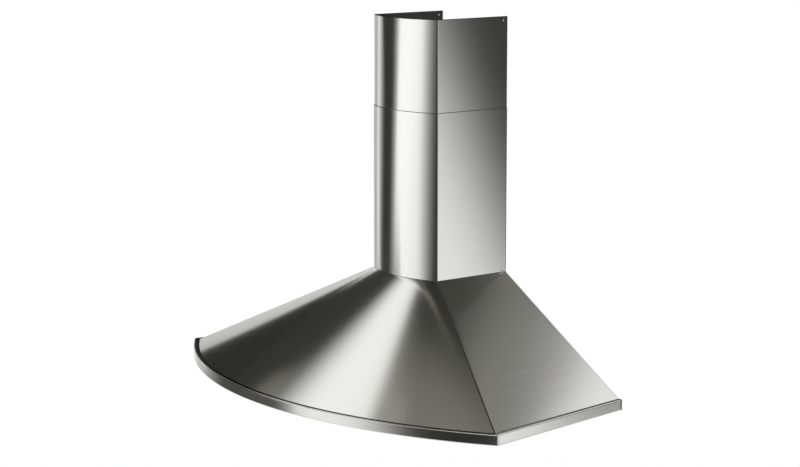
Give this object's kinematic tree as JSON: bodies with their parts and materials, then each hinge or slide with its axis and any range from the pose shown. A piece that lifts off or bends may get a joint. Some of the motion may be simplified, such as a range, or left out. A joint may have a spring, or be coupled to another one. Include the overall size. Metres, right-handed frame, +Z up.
{
  "type": "chimney range hood",
  "caption": "Wall-mounted cooker hood: bow-front sloping steel canopy with a slim rim, telescopic chimney covers, blower, filters, lamps and push buttons.",
  "frame": {"origin": "on the wall, centre of the wall hooks' screw pattern", "axes": "+Z up, +Y into the wall, -Y into the room, X along the wall"},
  "size_m": [0.9, 0.4649, 0.6488],
  "materials": {
    "brushed_steel": "satin brushed stainless steel",
    "plated_steel": "zinc-plated sheet steel",
    "screw_steel": "bright machine screw steel",
    "filter_aluminium": "bare rolled aluminium",
    "black_plastic": "matt black moulded plastic",
    "grey_plastic": "matt grey moulded plastic",
    "white_plastic": "matt white moulded plastic",
    "button_plastic": "silver moulded plastic",
    "chrome_trim": "bright plated trim",
    "lamp_glass": "frosted glass",
    "bulb_glass": "clear glass",
    "motor_paint": "black paint",
    "stator_iron": "laminated iron",
    "bearing_brass": "sintered bronze",
    "seal_rubber": "soft black rubber"
  },
  "bodies": {
    "hood": {"front_rim": "brushed_steel", "side_rim_left": "brushed_steel", "side_rim_right": "brushed_steel", "canopy_front_panel": "brushed_steel", "canopy_side_panel_left": "brushed_steel", "canopy_side_panel_right": "brushed_steel", "lower_chimney_cover": "brushed_steel", "canopy_top_plate": "plated_steel", "canopy_back_panel": "plated_steel", "bottom_pan": "brushed_steel", "chimney_screws": "screw_steel", "pan_screws": "screw_steel", "blower_screws": "screw_steel", "wall_hook_left": "plated_steel", "wall_hook_right": "plated_steel", "filter_hinge_ears": "plated_steel", "filter_catches": "black_plastic", "lamp_cup_left": "plated_steel", "lamp_cup_right": "plated_steel", "lamp_trim_left": "chrome_trim", "lamp_trim_right": "chrome_trim", "lamp_lens_left": "lamp_glass", "lamp_lens_right": "lamp_glass", "lamp_bulb_left": "bulb_glass", "lamp_bulb_right": "bulb_glass", "lamp_sockets": "white_plastic", "control_bezel": "black_plastic", "switch_box": "grey_plastic", "micro_switches": "black_plastic", "blower_casing_left": "plated_steel", "blower_casing_right": "plated_steel", "motor_housing": "motor_paint", "motor_stator": "stator_iron", "motor_bearings": "bearing_brass", "motor_bracket": "plated_steel", "collar_gasket": "seal_rubber", "outlet_collar": "black_plastic", "damper_pin": "screw_steel", "terminal_box": "grey_plastic", "terminal_box_lid": "grey_plastic", "lamp_driver": "white_plastic", "inlet_grommet": "seal_rubber", "capacitor": "white_plastic", "capacitor_clip": "plated_steel"},
    "upper_cover": {"upper_chimney_cover": "brushed_steel"},
    "impeller": {"impeller_wheel": "filter_aluminium", "motor_shaft": "screw_steel", "motor_rotor": "stator_iron"},
    "damper_front": {"damper_flap_front": "filter_aluminium"},
    "damper_rear": {"damper_flap_rear": "filter_aluminium"},
    "filter_left": {"filter_frame_left": "filter_aluminium", "filter_baffles_left": "filter_aluminium"},
    "filter_right": {"filter_frame_right": "filter_aluminium", "filter_baffles_right": "filter_aluminium"},
    "button_light_body": {"button_light": "button_plastic"},
    "button_off_body": {"button_off": "button_plastic"},
    "button_low_body": {"button_low": "button_plastic"},
    "button_medium_body": {"button_medium": "button_plastic"},
    "button_high_body": {"button_high": "button_plastic"}
  },
  "joints": [
    {"name": "upper_cover_slide", "type": "slide", "parent": "hood", "child": "upper_cover", "axis": [0, 0, 1], "range_m": [-0.13, 0.089]},
    {"name": "impeller_spin", "type": "hinge", "parent": "hood", "child": "impeller", "pos_m": [0, -0.12, -0.01], "axis": [1, 0, 0], "continuous": true},
    {"name": "damper_front_hinge", "type": "hinge", "parent": "hood", "child": "damper_front", "pos_m": [0, -0.088, 0.1185], "axis": [-1, 0, 0], "range_deg": [0, 80]},
    {"name": "damper_rear_hinge", "type": "hinge", "parent": "hood", "child": "damper_rear", "pos_m": [0, -0.088, 0.1185], "axis": [1, 0, 0], "range_deg": [0, 80]},
    {"name": "filter_left_hinge", "type": "hinge", "parent": "hood", "child": "filter_left", "pos_m": [-0.17, -0.0625, -0.109], "axis": [1, 0, 0], "range_deg": [0, 75]},
    {"name": "filter_right_hinge", "type": "hinge", "parent": "hood", "child": "filter_right", "pos_m": [0.17, -0.0625, -0.109], "axis": [1, 0, 0], "range_deg": [0, 75]},
    {"name": "button_light_push", "type": "slide", "parent": "hood", "child": "button_light_body", "axis": [0, 0, 1], "range_m": [0, 0.0025], "stiffness_N_per_m": 400, "springref_m": -0.001},
    {"name": "button_off_push", "type": "slide", "parent": "hood", "child": "button_off_body", "axis": [0, 0, 1], "range_m": [0, 0.0025], "stiffness_N_per_m": 400, "springref_m": -0.001},
    {"name": "button_low_push", "type": "slide", "parent": "hood", "child": "button_low_body", "axis": [0, 0, 1], "range_m": [0, 0.0025], "stiffness_N_per_m": 400, "springref_m": -0.001},
    {"name": "button_medium_push", "type": "slide", "parent": "hood", "child": "button_medium_body", "axis": [0, 0, 1], "range_m": [0, 0.0025], "stiffness_N_per_m": 400, "springref_m": -0.001},
    {"name": "button_high_push", "type": "slide", "parent": "hood", "child": "button_high_body", "axis": [0, 0, 1], "range_m": [0, 0.0025], "stiffness_N_per_m": 400, "springref_m": -0.001}
  ]
}
